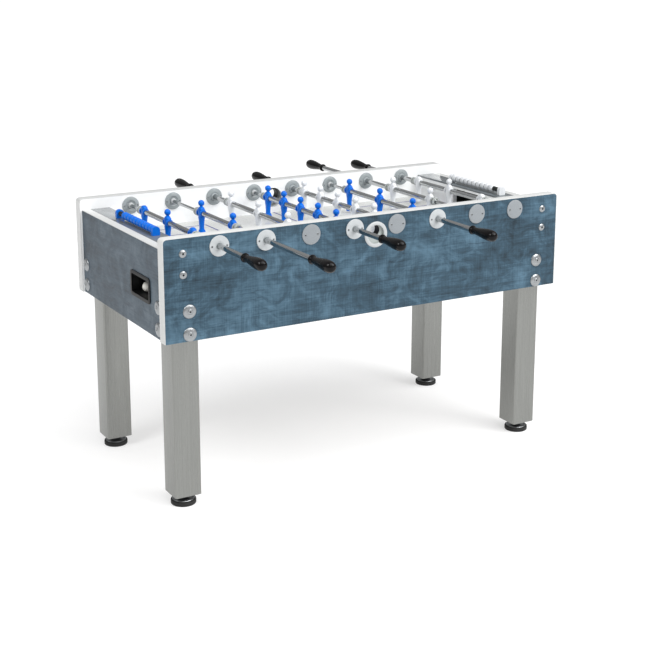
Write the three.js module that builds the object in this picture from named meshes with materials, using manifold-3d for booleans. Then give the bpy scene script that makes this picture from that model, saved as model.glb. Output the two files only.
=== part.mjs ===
// Foosball table: eight telescopic player rods over a playfield, in a laminated cabinet on four
// square steel legs. Units are millimetres. The origin is on the floor under the middle of the
// table; +X runs along the table to the right-hand goal, +Y away from the near side, +Z up.

import * as THREE from 'three';
import { mergeVertices } from 'three/addons/utils/BufferGeometryUtils.js';
import Module from 'manifold-3d';

const wasm = await Module();
wasm.setup();

// ---------------------------------------------------------------- driving dimensions

const GAP = 0.3; // left between pieces that touch
const HOLE_SIDES = 12;
const TABLE = { length: 1500, width: 760, height: 890 };
const WALL = { thickness: 38, bottom: 562, cornerRadius: 12 };
const END_PANEL = { inset: 8, thickness: 30, top: 852 };
const FIELD = { halfLength: 642, top: 768, thickness: 18 };
const GOAL = { width: 200, top: 838, wallThickness: 18 };
const TOP_PLATE = { thickness: 6 };
const BOTTOM_BOARD = { thickness: 12 };
const BEAM = { width: 40, height: 48 };
const LEG = { size: 90, top: 700, bottom: 37, wall: 3, plate: 6, cornerRadius: 5 };
const FOOT = { radius: 41, padHeight: 16, plateRadius: 34, stemRadius: 8, stemTop: 80 };
const ROD = { pitch: 161, z: 851, radius: 9, boreRadius: 6.6, inHandle: 60 };
const INNER_ROD = { radius: 6, inWall: 26, reach: 400 };
const BEARING = {
  flangeRadius: 33, flangeThickness: 4, sleeveRadius: 16, coneRadius: 31, coneHeight: 12, boreRadius: 9.5,
};
const BUMPER = { radius: 14, length: 22 };
const MAN = { halfWidth: 17, depth: 20, foot: 76, footDepth: 25, footHeight: 16, headRadius: 11, headZ: 34 };
const HANDLE = { length: 125, boreRadius: 9.4, boreDepth: 62, pushedIn: 480 };
const ENTRY = {
  z: 824, ringRadius: 43, ringThickness: 3, bodyRadius: 36, holeRadius: 19.5, holeRise: 12, cupDepth: 10,
};
const TRAY = {
  y: -177, width: 143.4, bottom: 666.3, top: 732.7, wall: 3,
  frameRim: 8.5, frameThickness: 3, frameRadius: 15,
};
const GUTTER = { y: 110, width: 50, rise: 32, top: 740 };
const SCORER = {
  halfLength: 160, axisHeight: 16, rodRadius: 8, bracket: 14, bracketWidth: 26, beadRadius: 13, beads: 257,
};
const BALL = { radius: 17.5, x: -705, y: -145 };

const wallInner = TABLE.width / 2 - WALL.thickness;
const panelOuter = TABLE.length / 2 - END_PANEL.inset;
const panelInner = panelOuter - END_PANEL.thickness;
const plateBottom = END_PANEL.top - TOP_PLATE.thickness;
const bearingFace = wallInner - BEARING.coneHeight;

// ---------------------------------------------------------------- teams and rods

const NEAR = -1;
const FAR = 1;
const GOALKEEPERS = { count: 3, spacing: 202, headless: [0, 2] };
const DEFENDERS = { count: 2, spacing: 246, headless: [] };
const MIDFIELD = { count: 5, spacing: 122, headless: [] };
const ATTACKERS = { count: 3, spacing: 212, headless: [] };

// From the left: the side of the handle, the team, the men, and how far the rod is slid towards +Y.
const RODS = [
  { side: NEAR, team: 'blue', men: GOALKEEPERS, slide: 14 },
  { side: NEAR, team: 'blue', men: DEFENDERS, slide: -24 },
  { side: FAR, team: 'white', men: ATTACKERS, slide: -13 },
  { side: NEAR, team: 'blue', men: MIDFIELD, slide: -17 },
  { side: FAR, team: 'white', men: MIDFIELD, slide: 5 },
  { side: NEAR, team: 'blue', men: ATTACKERS, slide: -18 },
  { side: FAR, team: 'white', men: DEFENDERS, slide: 24 },
  { side: FAR, team: 'white', men: GOALKEEPERS, slide: 14 },
];
const rodX = (index) => (index - (RODS.length - 1) / 2) * ROD.pitch;
const outerFace = (men) => ((men.count - 1) / 2) * men.spacing + MAN.halfWidth + BUMPER.length;
const travel = (men) => bearingFace - outerFace(men) - 1;

// ---------------------------------------------------------------- materials

function finish(color, roughness, metalness = 0) {
  return new THREE.MeshStandardMaterial({ color, roughness, metalness });
}

const MATERIAL = {
  laminate: finish(0x4a6a81, 0.5),
  panel: finish(0x5b656e, 0.5),
  field: finish(0xd0d2cf, 0.4),
  board: finish(0xd6d7d9, 0.6),
  plate: finish(0x9da4aa, 0.15),
  steel: finish(0xa8aaa9, 0.4, 0.9),
  chrome: finish(0xc8ccd0, 0.12, 1),
  rubber: finish(0x161616, 0.8),
  black: finish(0x111111, 0.25),
  blue: finish(0x1460d0, 0.35),
  white: finish(0xe4e6e8, 0.35),
  flange: finish(0xc9cccd, 0.4),
};

// ---------------------------------------------------------------- solids

/** Merges shared vertices, drops slivers at poles and turns the faces outwards. */
function weld(geometry) {
  const bare = geometry.index ? geometry.toNonIndexed() : geometry.clone();
  bare.deleteAttribute('normal');
  bare.deleteAttribute('uv');
  const merged = mergeVertices(bare, 1e-3);
  const source = merged.index.array;
  const kept = [];
  for (let i = 0; i < source.length; i += 3) {
    const [a, b, c] = [source[i], source[i + 1], source[i + 2]];
    if (a !== b && b !== c && c !== a) kept.push(a, b, c);
  }
  merged.setIndex(kept);
  if (volume(merged) < 0) {
    for (let i = 0; i < kept.length; i += 3) [kept[i], kept[i + 1]] = [kept[i + 1], kept[i]];
    merged.setIndex(kept);
  }
  return merged;
}

function volume(geometry) {
  const position = geometry.attributes.position;
  const index = geometry.index.array;
  const [a, b, c] = [new THREE.Vector3(), new THREE.Vector3(), new THREE.Vector3()];
  let total = 0;
  for (let i = 0; i < index.length; i += 3) {
    a.fromBufferAttribute(position, index[i]);
    b.fromBufferAttribute(position, index[i + 1]);
    c.fromBufferAttribute(position, index[i + 2]);
    total += a.dot(b.cross(c)) / 6;
  }
  return total;
}

function toSolid(geometry) {
  const welded = weld(geometry);
  const vertProperties = new Float32Array(welded.attributes.position.array);
  const triVerts = new Uint32Array(welded.index.array);
  return new wasm.Manifold(new wasm.Mesh({ numProp: 3, vertProperties, triVerts }));
}

function toGeometry(solid) {
  const mesh = solid.getMesh();
  const geometry = new THREE.BufferGeometry();
  geometry.setAttribute('position', new THREE.BufferAttribute(new Float32Array(mesh.vertProperties), 3));
  geometry.setIndex(new THREE.BufferAttribute(new Uint32Array(mesh.triVerts), 1));
  return geometry;
}

const join = (...geometries) => toGeometry(geometries.map(toSolid).reduce((a, b) => a.add(b)));
const cut = (body, ...tools) => toGeometry(tools.map(toSolid).reduce((a, b) => a.subtract(b), toSolid(body)));

/** A box between two corners. */
function block(low, high) {
  const size = high.map((value, i) => value - low[i]);
  const middle = high.map((value, i) => (value + low[i]) / 2);
  return new THREE.BoxGeometry(...size).translate(...middle);
}

/** A solid of revolution about the Y axis; the profile lists [radius, y] and closes on itself. */
function turned(profile, sides = 12) {
  const points = [...profile, profile[0]].map(([radius, y]) => new THREE.Vector2(radius, y));
  return new THREE.LatheGeometry(points, sides);
}

/** A cylinder about the Y axis from y0 to y1. */
const barY = (radius, y0, y1, sides = 12) => turned([[0, y0], [radius, y0], [radius, y1], [0, y1]], sides);

/** A rounded rectangle; corners are [radius at the bottom, radius at the top]. */
function rounded(x0, y0, x1, y1, [rb, rt]) {
  const shape = new THREE.Shape();
  const arc = (x, y, r, from) => shape.absarc(x, y, r, from, from + Math.PI / 2);
  const corner = (x, y, r, from) => (r > 0 ? arc(x, y, r, from) : shape.lineTo(x, y));
  shape.moveTo(x0 + rb, y0);
  corner(x1 - rb, y0 + rb, rb, -Math.PI / 2);
  corner(x1 - rt, y1 - rt, rt, 0);
  corner(x0 + rt, y1 - rt, rt, Math.PI / 2);
  corner(x0 + rb, y0 + rb, rb, Math.PI);
  return shape;
}

/** A round hole for a rounded shape; its flats, not its corners, lie on the radius. */
function circle(x, y, radius) {
  return new THREE.Path().absarc(x, y, radius / Math.cos(Math.PI / HOLE_SIDES), 0, 2 * Math.PI);
}

/** Extrudes a shape drawn in X and Z, from y0 to y1. */
function extrudeY(shape, y0, y1, curveSegments = 3) {
  const geometry = new THREE.ExtrudeGeometry(shape, { depth: y1 - y0, bevelEnabled: false, curveSegments });
  return geometry.rotateX(Math.PI / 2).translate(0, y1, 0);
}

/** Extrudes a shape drawn in Y and Z, from x0 to x1. */
function extrudeX(shape, x0, x1, curveSegments = 3) {
  const geometry = new THREE.ExtrudeGeometry(shape, { depth: x1 - x0, bevelEnabled: false, curveSegments });
  const [x, y, z] = [new THREE.Vector3(1, 0, 0), new THREE.Vector3(0, 1, 0), new THREE.Vector3(0, 0, 1)];
  return geometry.applyMatrix4(new THREE.Matrix4().makeBasis(y, z, x)).translate(x0, 0, 0);
}

// ---------------------------------------------------------------- cabinet

/** One long wall, drilled for the rods' bearings, the inner rods' ends and the ball entry. */
function sideWall(side) {
  const end = TABLE.length / 2;
  const shape = rounded(-end, WALL.bottom, end, TABLE.height, [0, WALL.cornerRadius]);
  shape.holes.push(circle(0, ENTRY.z, ENTRY.bodyRadius + GAP));
  const sockets = [];
  RODS.forEach((rod, index) => {
    if (rod.side === side) {
      shape.holes.push(circle(rodX(index), ROD.z, BEARING.sleeveRadius + GAP * 2));
    } else {
      const depth = INNER_ROD.inWall + GAP;
      const socket = barY(INNER_ROD.radius + GAP * 2, -depth, depth);
      sockets.push(socket.translate(rodX(index), side * wallInner, ROD.z));
    }
  });
  const faces = [side * wallInner, (side * TABLE.width) / 2].sort((a, b) => a - b);
  return cut(extrudeY(shape, ...faces, HOLE_SIDES / 2), ...sockets);
}

/** The left end panel, with the ball tray's window; the right one is the same panel turned round. */
function endPanel() {
  const shape = rounded(-wallInner + GAP, WALL.bottom, wallInner - GAP, END_PANEL.top, [0, 0]);
  const half = TRAY.width / 2 + GAP;
  shape.holes.push(rounded(TRAY.y - half, TRAY.bottom - GAP, TRAY.y + half, TRAY.top + GAP, [0, 0]));
  return extrudeX(shape, -panelOuter, -panelInner);
}

function playfield() {
  const x = FIELD.halfLength - GAP;
  const y = wallInner - GAP;
  return block([-x, -y, FIELD.top - FIELD.thickness], [x, y, FIELD.top]);
}

/** The board across the left end of the field, with the goal mouth in it. */
function goalWall() {
  const bottom = FIELD.top - FIELD.thickness;
  const shape = rounded(-wallInner + GAP, bottom, wallInner - GAP, plateBottom - GAP, [0, 0]);
  shape.holes.push(rounded(-GOAL.width / 2, FIELD.top, GOAL.width / 2, GOAL.top, [0, 0]));
  return extrudeX(shape, -FIELD.halfLength - GOAL.wallThickness, -FIELD.halfLength);
}

function topPlate() {
  const y = wallInner - GAP;
  return block([-panelInner + GAP, -y, plateBottom], [-FIELD.halfLength, y, END_PANEL.top]);
}

/** The bottom board, notched at its corners round the legs. */
function bottomBoard() {
  const [x, y] = [panelInner - GAP, wallInner - GAP];
  const notch = LEG.size + 2 * GAP;
  const height = [WALL.bottom, WALL.bottom + BOTTOM_BOARD.thickness];
  const long = block([-x, -y + notch, height[0]], [x, y - notch, height[1]]);
  const wide = block([-x + notch, -y, height[0]], [x - notch, y, height[1]]);
  return join(long, wide);
}

function fieldBeam() {
  const top = FIELD.top - FIELD.thickness - GAP;
  const y = wallInner - GAP;
  return block([-BEAM.width / 2, -y, top - BEAM.height], [BEAM.width / 2, y, top]);
}

// ---------------------------------------------------------------- legs

/** A square tube, open at the top, with a drilled plate at the bottom; centred on its own axis. */
function leg() {
  const half = LEG.size / 2;
  const upright = (inset, radius, z0, z1) => {
    const shape = rounded(-half + inset, -half + inset, half - inset, half - inset, [radius, radius]);
    const options = { depth: z1 - z0, bevelEnabled: false, curveSegments: 1 };
    return new THREE.ExtrudeGeometry(shape, options).translate(0, 0, z0);
  };
  const hollow = upright(LEG.wall, LEG.cornerRadius - LEG.wall, LEG.bottom + LEG.plate, LEG.top + 1);
  const plateTop = LEG.bottom + LEG.plate;
  const hole = barY(FOOT.stemRadius + GAP * 2, LEG.bottom - 1, plateTop + 1).rotateX(Math.PI / 2);
  return cut(upright(0, LEG.cornerRadius, LEG.bottom, LEG.top), hollow, hole);
}

/** A levelling foot: rubber pad, steel plate and the threaded stem that runs up into the leg. */
function levellingFoot() {
  const nut = { radius: 13, height: 10 };
  const plateTop = FOOT.padHeight + 6;
  const nutTop = LEG.bottom - GAP;
  return turned([
    [0, 0],
    [FOOT.radius - 2, 0],
    [FOOT.radius, FOOT.padHeight - 2],
    [FOOT.plateRadius, plateTop],
    [nut.radius, plateTop + 2],
    [nut.radius, nutTop],
    [FOOT.stemRadius, nutTop],
    [FOOT.stemRadius, FOOT.stemTop],
    [0, FOOT.stemTop],
  ]).rotateX(Math.PI / 2);
}

// ---------------------------------------------------------------- rods

/** The front outline of one man about the rod's axis, drawn in Y and Z. */
function manOutline(headless) {
  const half = [
    [11, -MAN.foot],
    [11, -MAN.foot + MAN.footHeight],
    [8, -52],
    [13, -18],
    [MAN.halfWidth, -4],
    [MAN.halfWidth, 13],
    [10, 19],
  ];
  if (!headless) half.push([4.5, 21], [4.5, 26]);
  const mirrored = [...half].reverse().map(([y, z]) => [-y, z]);
  return new THREE.Shape([...half, ...mirrored].map(([y, z]) => new THREE.Vector2(y, z)));
}

/** The solids of one man, standing at y on the rod's axis. */
function man(headless, y) {
  const { depth, foot, footDepth, footHeight, headRadius, headZ } = MAN;
  const body = extrudeX(manOutline(headless), -depth / 2, depth / 2);
  const shoe = block([-footDepth / 2, -11, -foot], [footDepth / 2, 11, -foot + footHeight]);
  const head = new THREE.SphereGeometry(headRadius, 7, 4).rotateX(Math.PI / 2).translate(0, 0, headZ);
  const parts = headless ? [body, shoe] : [body, shoe, head];
  return parts.map((part) => part.translate(0, y, 0));
}

const manY = (men, i) => (i - (men.count - 1) / 2) * men.spacing;

/** The hollow outer tube with its men and bumpers, centred, with the handle towards +Y. */
function playerRod(men) {
  const face = outerFace(men);
  const end = HANDLE.pushedIn + travel(men) + ROD.inHandle;
  const parts = [barY(ROD.radius, -face, end)];
  for (let i = 0; i < men.count; i += 1) parts.push(...man(men.headless.includes(i), manY(men, i)));
  for (const y of [-face, face - BUMPER.length]) parts.push(barY(BUMPER.radius, y, y + BUMPER.length));
  return cut(join(...parts), barY(ROD.boreRadius, -face - 1, end + 1));
}

/** The grip, open at y = 0 for the end of the tube, pointing towards +Y. */
function handle() {
  const bore = [HANDLE.boreRadius, HANDLE.boreDepth];
  return turned([
    [0, bore[1]],
    [bore[0], bore[1]],
    [bore[0], 0],
    [13, 0],
    [14.5, 5],
    [13, 13],
    [11.5, 22],
    [14, 48],
    [18.5, 85],
    [18, 106],
    [12, 121],
    [0, HANDLE.length],
  ]);
}

/** The handle-side bearing: outer flange, sleeve and inner cone; y = 0 is the wall's outer face. */
function bearing() {
  const { flangeRadius, flangeThickness, sleeveRadius, coneRadius, coneHeight, boreRadius } = BEARING;
  const inner = -WALL.thickness - GAP;
  return turned([
    [boreRadius, flangeThickness + GAP],
    [flangeRadius - 2, flangeThickness + GAP],
    [flangeRadius, GAP],
    [sleeveRadius, GAP],
    [sleeveRadius, inner],
    [coneRadius, inner],
    [coneRadius - 3, inner - 3],
    [sleeveRadius, -WALL.thickness - coneHeight],
    [boreRadius, -WALL.thickness - coneHeight],
  ]);
}

function innerRod() {
  return barY(INNER_ROD.radius, -wallInner - INNER_ROD.inWall, INNER_ROD.reach);
}

// ---------------------------------------------------------------- ball ways

/** The cup in the near wall where a ball is put in: a ring, a shallow cup and a hole through. */
function ballEntry() {
  const outer = -TABLE.width / 2;
  const body = turned([
    [0, -wallInner],
    [ENTRY.bodyRadius, -wallInner],
    [ENTRY.bodyRadius, outer - GAP],
    [ENTRY.ringRadius, outer - GAP],
    [ENTRY.ringRadius - 2, outer - GAP - ENTRY.ringThickness],
    [0, outer - GAP - ENTRY.ringThickness],
  ], 20);
  const cup = turned([
    [0, outer - 10],
    [ENTRY.bodyRadius - 4, outer - 10],
    [ENTRY.bodyRadius - 12, outer + ENTRY.cupDepth],
    [0, outer + ENTRY.cupDepth],
  ], 20);
  const hole = barY(ENTRY.holeRadius, outer - 10, -wallInner + 10, 16).translate(0, 0, ENTRY.holeRise);
  return cut(body, cup, hole).translate(0, 0, ENTRY.z);
}

/** The left goal's gutter, the tray it drains into and the tray's frame, in one moulding. */
function ballTray() {
  const { y, width, bottom, top, wall, frameRim, frameThickness, frameRadius } = TRAY;
  const [y0, y1] = [y - width / 2, y + width / 2];
  const back = -panelInner + GUTTER.width;
  const front = -panelOuter - GAP - frameThickness;
  const side = (from, to, base, crest) =>
    [[from, base], [to, base + GUTTER.rise], [to, crest], [from, crest]];
  const outline = (points) => new THREE.Shape(points.map(([py, pz]) => new THREE.Vector2(py, pz)));
  const sheath = side(y1 - 1, GUTTER.y, bottom + wall, GUTTER.top);
  const gutter = extrudeX(outline(sheath), -panelInner + GAP, back);
  const tray = block([-panelOuter - GAP - 1, y0, bottom], [back, y1, top]);
  const [low, high] = [bottom - frameRim, top + frameRim];
  const frame = rounded(y0 - frameRim, low, y1 + frameRim, high, [frameRadius, frameRadius]);
  const rim = extrudeX(frame, front, front + frameThickness, 4);
  const hollow = block([front - 1, y0 + wall, bottom + wall], [back - wall, y1 - wall, top - wall]);
  const channel = side(y1 - wall - 1, GUTTER.y - wall, bottom + 2 * wall, GUTTER.top + 1);
  const run = extrudeX(outline(channel), -panelInner + GAP + wall, back - wall);
  return cut(join(gutter, tray, rim), hollow, run);
}

// ---------------------------------------------------------------- scorers

/** The left scorer's rod and its two end brackets, standing on the top plate. */
function scorerRail() {
  const { halfLength, axisHeight, rodRadius, bracket, bracketWidth } = SCORER;
  const base = END_PANEL.top + GAP;
  const radius = bracketWidth / 2;
  const shape = rounded(-radius, base, radius, base + axisHeight + radius, [0, radius - 1]);
  const near = extrudeY(shape, -halfLength, -halfLength + bracket);
  const far = extrudeY(shape, halfLength - bracket, halfLength);
  const rod = barY(rodRadius, -halfLength + 2, halfLength - 2, 8).translate(0, 0, base + axisHeight);
  return join(near, far, rod);
}

/** The ten beads, pushed together against the near bracket. */
function scoreBeads() {
  const start = -SCORER.halfLength + SCORER.bracket + GAP;
  const end = start + SCORER.beads;
  const ring = turned([
    [SCORER.rodRadius + 2 * GAP, start],
    [SCORER.beadRadius, start],
    [SCORER.beadRadius, end],
    [SCORER.rodRadius + 2 * GAP, end],
  ], 12);
  return ring.translate(0, 0, END_PANEL.top + GAP + SCORER.axisHeight);
}

// ---------------------------------------------------------------- assembly

const table = new THREE.Group();

function add(name, geometry, material, parent = table) {
  const mesh = new THREE.Mesh(weld(geometry), material);
  mesh.name = name;
  parent.add(mesh);
  return mesh;
}

/** A group turned half round about the vertical, for what stands at the right end or the far side. */
function turnedRound() {
  const group = new THREE.Group();
  group.rotation.z = Math.PI;
  table.add(group);
  return group;
}

add('near_side_wall', sideWall(NEAR), MATERIAL.laminate);
add('far_side_wall', sideWall(FAR), MATERIAL.laminate);
add('playfield', playfield(), MATERIAL.field);
add('field_beam', fieldBeam(), MATERIAL.board);
add('bottom_board', bottomBoard(), MATERIAL.board);

const ends = [['left', table], ['right', turnedRound()]];
for (const [end, parent] of ends) {
  const railX = -(panelInner + FIELD.halfLength) / 2;
  add(`${end}_end_panel`, endPanel(), MATERIAL.panel, parent);
  add(`${end}_goal_wall`, goalWall(), MATERIAL.board, parent);
  add(`${end}_top_plate`, topPlate(), MATERIAL.plate, parent);
  add(`${end}_ball_tray`, ballTray(), MATERIAL.black, parent);
  const team = end === 'left' ? MATERIAL.blue : MATERIAL.white;
  add(`${end}_scorer_rail`, scorerRail(), team, parent).position.x = railX;
  add(`${end}_score_beads`, scoreBeads(), team, parent).position.x = railX;
}

add('near_ball_entry', ballEntry(), MATERIAL.white);
add('far_ball_entry', ballEntry(), MATERIAL.white, turnedRound());

const legX = panelInner - GAP - LEG.size / 2;
const legY = wallInner - GAP - LEG.size / 2;
for (const [end, x] of [['left', -legX], ['right', legX]]) {
  for (const [side, y] of [['near', -legY], ['far', legY]]) {
    add(`${side}_${end}_leg`, leg(), MATERIAL.steel).position.set(x, y, 0);
    add(`${side}_${end}_foot`, levellingFoot(), MATERIAL.rubber).position.set(x, y, 0);
  }
}

RODS.forEach((rod, index) => {
  const number = index + 1;
  const group = new THREE.Group();
  group.position.set(rodX(index), 0, ROD.z);
  group.rotation.z = rod.side === NEAR ? Math.PI : 0;
  table.add(group);
  const slide = rod.slide * rod.side;
  add(`player_rod_${number}`, playerRod(rod.men), MATERIAL[rod.team], group).position.y = slide;
  const collar = HANDLE.pushedIn + travel(rod.men);
  add(`handle_${number}`, handle(), MATERIAL.black, group).position.y = slide + collar;
  add(`inner_rod_${number}`, innerRod(), MATERIAL.chrome, group);
  add(`bearing_${number}`, bearing(), MATERIAL.flange, group).position.y = TABLE.width / 2;
});

const trayFloor = TRAY.bottom + TRAY.wall;
const ball = new THREE.SphereGeometry(BALL.radius, 12, 8).translate(0, 0, trayFloor + GAP + BALL.radius);
add('ball', ball, MATERIAL.white).position.set(BALL.x, BALL.y, 0);

export default table;
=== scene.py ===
"""Looks of a foosball table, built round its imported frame.

Every length is in metres in the table's own frame: the origin is on the floor under the middle,
+X runs to the right-hand goal, +Y away from the near side and +Z is up. Small sizes are written
in millimetres through ``mm``. Each class below is one sub-assembly of the table.
"""

import logging
import math
from dataclasses import dataclass, field
from enum import Enum
from typing import Iterable, List, Sequence, Tuple

import bmesh
import bpy
from mathutils import Matrix, Vector


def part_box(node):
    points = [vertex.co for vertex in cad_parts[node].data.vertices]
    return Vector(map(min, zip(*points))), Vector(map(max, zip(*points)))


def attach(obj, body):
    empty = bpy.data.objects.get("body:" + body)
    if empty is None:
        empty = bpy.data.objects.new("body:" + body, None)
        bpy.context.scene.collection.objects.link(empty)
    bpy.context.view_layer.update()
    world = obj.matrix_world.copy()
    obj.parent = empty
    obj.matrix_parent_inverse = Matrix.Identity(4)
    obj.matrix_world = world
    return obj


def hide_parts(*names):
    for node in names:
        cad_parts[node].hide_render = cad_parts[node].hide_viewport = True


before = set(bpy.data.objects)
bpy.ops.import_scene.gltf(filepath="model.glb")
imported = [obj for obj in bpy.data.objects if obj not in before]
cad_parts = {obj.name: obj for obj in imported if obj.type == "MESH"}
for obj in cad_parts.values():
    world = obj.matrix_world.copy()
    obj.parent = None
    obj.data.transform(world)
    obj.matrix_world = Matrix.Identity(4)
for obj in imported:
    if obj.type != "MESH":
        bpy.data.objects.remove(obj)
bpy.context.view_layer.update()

log = logging.getLogger("foosball_table")

Point = Tuple[float, float]
Colour = Tuple[float, float, float]
FULL_TURN = 2 * math.pi
WELD = 1e-6


def mm(value: float) -> float:
    """Turns millimetres into metres."""
    return value / 1000


def srgb(red: int, green: int, blue: int) -> Colour:
    """Turns an 8-bit display colour into the linear colour that the shaders use.

    Args:
        red: the red channel, 0 to 255.
        green: the green channel.
        blue: the blue channel.

    Returns:
        The linear colour.
    """
    def linear(value: int) -> float:
        """Undoes the display's transfer curve for one channel."""
        share = value / 255
        return share / 12.92 if share <= 0.04045 else ((share + 0.055) / 1.055) ** 2.4
    return linear(red), linear(green), linear(blue)


# ---------------------------------------------------------------- finishes


class NodeTree:
    """Small builder of a material's nodes."""

    def __init__(self, name: str) -> None:
        """Starts an empty material with an output and a Principled shader.

        Args:
            name: the material's name.
        """
        self.material = bpy.data.materials.new(name)
        self.material.use_nodes = True
        self.tree = self.material.node_tree
        self.tree.nodes.clear()
        self.shader = self.add("ShaderNodeBsdfPrincipled")
        output = self.add("ShaderNodeOutputMaterial")
        self.link(self.shader.outputs["BSDF"], output.inputs["Surface"])

    def add(self, kind: str, **values: object) -> bpy.types.Node:
        """Adds a node and sets its properties or, where it has no such property, its inputs.

        Args:
            kind: the node's type.
            values: properties and inputs, by name.

        Returns:
            The new node.
        """
        node = self.tree.nodes.new(kind)
        for key, value in values.items():
            if hasattr(node, key):
                setattr(node, key, value)
            else:
                node.inputs[key.replace("_", " ").title()].default_value = value
        return node

    def link(self, source: bpy.types.NodeSocket, target: bpy.types.NodeSocket) -> None:
        """Links two sockets."""
        self.tree.links.new(source, target)

    def place(self, scale: Sequence[float]) -> bpy.types.NodeSocket:
        """Returns the object's own coordinates, scaled per axis.

        Args:
            scale: how many units a metre becomes, along each axis.

        Returns:
            The scaled coordinates.
        """
        coordinates = self.add("ShaderNodeTexCoord")
        mapping = self.add("ShaderNodeMapping")
        mapping.inputs["Scale"].default_value = scale
        self.link(coordinates.outputs["Object"], mapping.inputs["Vector"])
        return mapping.outputs["Vector"]

    def noise(self, scale: Sequence[float], detail: float = 4, roughness: float = 0.55,
              distortion: float = 0) -> bpy.types.NodeSocket:
        """Returns a noise that repeats about ``scale`` times per metre along each axis.

        Args:
            scale: repeats per metre along each axis.
            detail: how many finer layers are added.
            roughness: how strong the finer layers are.
            distortion: how far the pattern is swirled.

        Returns:
            The noise's value.
        """
        noise = self.add("ShaderNodeTexNoise", scale=1.0, detail=detail, roughness=roughness,
                         distortion=distortion)
        self.link(self.place(scale), noise.inputs["Vector"])
        return noise.outputs["Fac"]

    def ramp(self, value: bpy.types.NodeSocket,
             stops: Sequence[Tuple[float, Colour]]) -> bpy.types.NodeSocket:
        """Returns a colour read from ``value`` along the stops.

        Args:
            value: what is read, from 0 to 1.
            stops: positions and their colours.

        Returns:
            The colour.
        """
        ramp = self.add("ShaderNodeValToRGB")
        elements = ramp.color_ramp.elements
        while len(elements) < len(stops):
            elements.new(0.5)
        for element, (position, colour) in zip(elements, stops):
            element.position = position
            element.color = (*colour, 1)
        self.link(value, ramp.inputs["Fac"])
        return ramp.outputs["Color"]

    def spread(self, value: bpy.types.NodeSocket, low: float, high: float) -> bpy.types.NodeSocket:
        """Returns ``value``'s middle range stretched between two numbers.

        Args:
            value: the value to stretch.
            low: what its low side becomes.
            high: what its high side becomes.

        Returns:
            The stretched value.
        """
        node = self.add("ShaderNodeMapRange")
        for key, number in (("From Min", 0.3), ("From Max", 0.7), ("To Min", low), ("To Max", high)):
            node.inputs[key].default_value = number
        self.link(value, node.inputs["Value"])
        return node.outputs["Result"]

    def number(self, value: float) -> bpy.types.NodeSocket:
        """Returns a constant.

        Args:
            value: the constant.

        Returns:
            A socket that gives it.
        """
        node = self.add("ShaderNodeValue")
        node.outputs[0].default_value = value
        return node.outputs[0]

    def weighted(self, parts: Sequence[Tuple[bpy.types.NodeSocket, float]]) -> bpy.types.NodeSocket:
        """Returns the weighted sum of some values.

        Args:
            parts: values and their weights.

        Returns:
            The sum.
        """
        total = self.number(0)
        for value, weight in parts:
            node = self.add("ShaderNodeMath", operation="MULTIPLY_ADD")
            node.inputs[1].default_value = weight
            self.link(value, node.inputs[0])
            self.link(total, node.inputs[2])
            total = node.outputs[0]
        return total

    def mix(self, share: bpy.types.NodeSocket, first: bpy.types.NodeSocket, second: bpy.types.NodeSocket,
            blend: str = "MIX") -> bpy.types.NodeSocket:
        """Returns two colours mixed by ``share``.

        Args:
            share: how much of the second colour is used.
            first: the colour underneath.
            second: the colour on top.
            blend: the way they are mixed.

        Returns:
            The mixed colour.
        """
        node = self.add("ShaderNodeMix", data_type="RGBA", blend_type=blend)
        self.link(share, node.inputs["Factor"])
        self.link(first, node.inputs[6])
        self.link(second, node.inputs[7])
        return node.outputs[2]

    def bump(self, height: bpy.types.NodeSocket, depth: float) -> None:
        """Raises the surface by ``height`` times ``depth`` metres.

        Args:
            height: the relief, from 0 to 1.
            depth: its full height in metres.
        """
        node = self.add("ShaderNodeBump", strength=1.0)
        node.inputs["Distance"].default_value = depth
        self.link(height, node.inputs["Height"])
        self.link(node.outputs["Normal"], self.shader.inputs["Normal"])


@dataclass(frozen=True)
class Finish:
    """One surface finish: a broken colour, a varied roughness and a fine relief."""

    name: str
    slot: str
    colour: Colour
    shade: float = 0.9
    grain: Tuple[float, float, float] = (60, 60, 60)
    roughness: Tuple[float, float] = (0.4, 0.5)
    metallic: float = 0.0
    specular: float = 0.5
    coat: float = 0.0
    relief: float = mm(0.02)
    relief_grain: Tuple[float, float, float] = (900, 900, 900)

    def base(self, nodes: NodeTree) -> bpy.types.NodeSocket:
        """Returns the colour over the surface.

        Args:
            nodes: the material's nodes.

        Returns:
            The colour.
        """
        dark = tuple(channel * self.shade for channel in self.colour)
        return nodes.ramp(nodes.noise(self.grain), [(0.3, dark), (0.7, self.colour)])

    def material(self) -> bpy.types.Material:
        """Returns the finish's material, made once.

        Returns:
            The material.
        """
        made = bpy.data.materials.get(self.name)
        if made:
            return made
        nodes = NodeTree(self.name)
        shader = nodes.shader.inputs
        nodes.link(self.base(nodes), shader["Base Color"])
        nodes.link(nodes.spread(nodes.noise(self.relief_grain, 3), *self.roughness), shader["Roughness"])
        shader["Metallic"].default_value = self.metallic
        shader["Specular IOR Level"].default_value = self.specular
        shader["Coat Weight"].default_value = self.coat
        shader["Coat Roughness"].default_value = 0.08
        if self.relief:
            nodes.bump(nodes.noise(self.relief_grain, 4), self.relief)
        return nodes.material


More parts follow.
